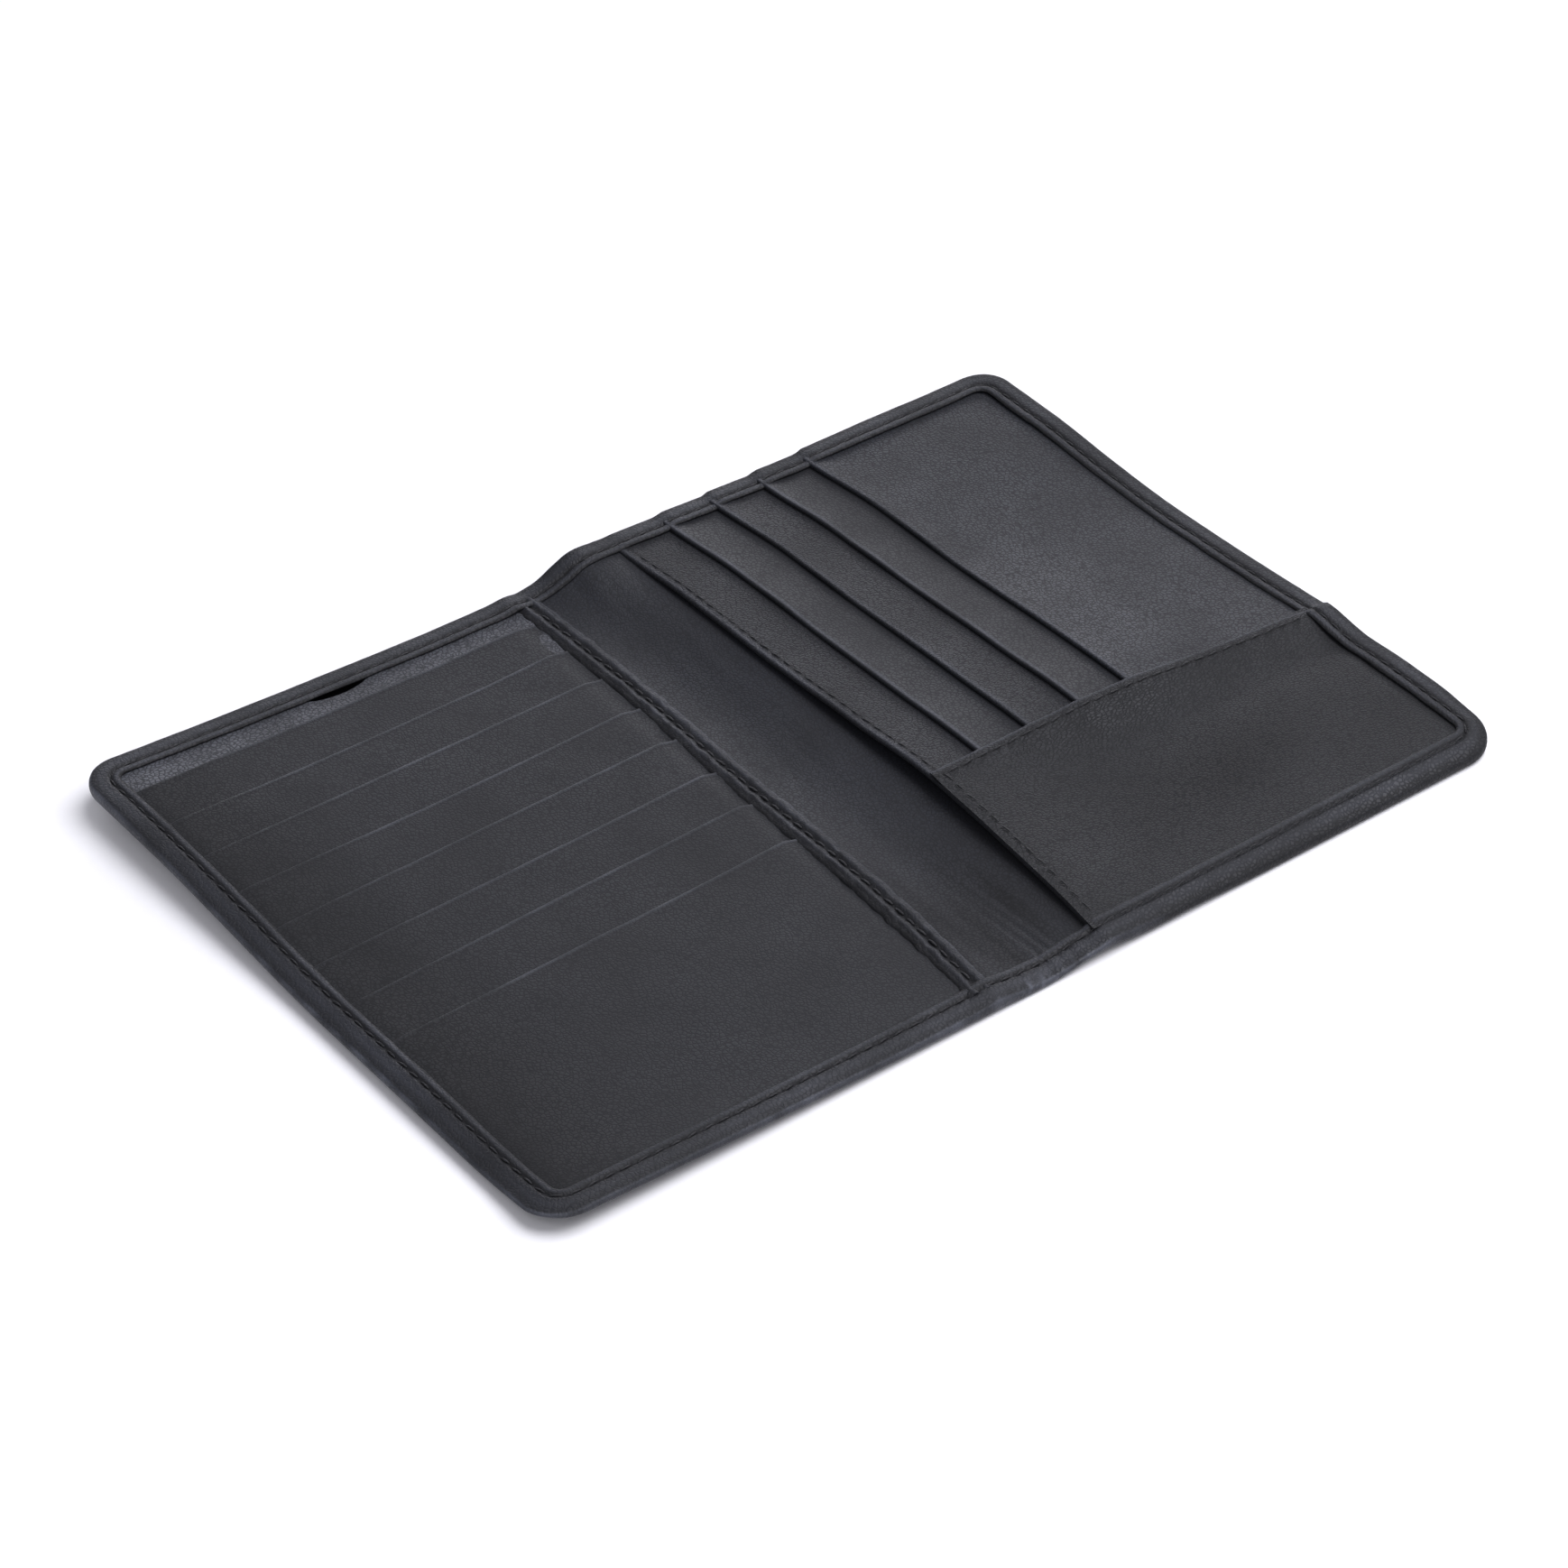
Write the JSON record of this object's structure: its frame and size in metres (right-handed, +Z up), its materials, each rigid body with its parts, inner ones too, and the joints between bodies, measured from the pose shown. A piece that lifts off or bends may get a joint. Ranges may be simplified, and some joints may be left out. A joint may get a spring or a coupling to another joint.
{
  "type": "travel wallet",
  "caption": "Open leather travel wallet with stepped card pockets, a booklet slip pocket and a ticket pocket, folding shut like a book.",
  "frame": {"origin": "middle of the flat resting face, under the open wallet", "axes": "+X across the open wallet from the card half to the booklet half, +Y along the spine towards the card pockets' mouths, +Z up out of the open pages"},
  "size_m": [0.217, 0.152, 0.009],
  "materials": {
    "cover_leather": "fine-grained leather, satin",
    "pocket_leather": "smooth leather, satin",
    "grained_leather": "pebble-grained leather, satin",
    "board": "bonded leather board, hidden",
    "thread": "bonded polyester thread"
  },
  "bodies": {
    "left_half": {"cover_left": "cover_leather", "stiffener_left": "board", "back_panel_left": "grained_leather", "card_pocket_1": "pocket_leather", "card_pocket_2": "pocket_leather", "card_pocket_3": "pocket_leather", "card_pocket_4": "pocket_leather", "card_pocket_5": "pocket_leather", "card_pocket_6": "pocket_leather", "card_pocket_7": "pocket_leather", "card_pocket_8": "pocket_leather", "binding_strip": "pocket_leather", "hem_left": "cover_leather", "hem_thread_left": "thread", "binding_thread": "thread"},
    "spine": {"cover_spine": "cover_leather", "spine_lining": "pocket_leather", "hem_spine_far": "cover_leather", "hem_spine_near": "cover_leather", "hem_thread_spine": "thread"},
    "right_half": {"cover_right": "cover_leather", "stiffener_right": "board", "back_panel_right": "pocket_leather", "base_panel": "grained_leather", "side_pocket_1": "pocket_leather", "side_pocket_2": "grained_leather", "side_pocket_3": "pocket_leather", "side_pocket_4": "pocket_leather", "ticket_pocket": "pocket_leather", "hem_right": "cover_leather", "hem_thread_right": "thread", "base_thread": "thread", "ticket_thread": "thread"}
  },
  "joints": [
    {"name": "spine_fold", "type": "hinge", "parent": "left_half", "child": "spine", "pos_m": [-0.005, 0, 0.00335], "axis": [0, -1, 0], "range_deg": [0, 90]},
    {"name": "right_fold", "type": "hinge", "parent": "spine", "child": "right_half", "pos_m": [0.005, 0, 0.00335], "axis": [0, -1, 0], "range_deg": [0, 90]}
  ],
  "couplings": [
    {"joint": "right_fold", "follows": "spine_fold", "ratio": 1}
  ]
}
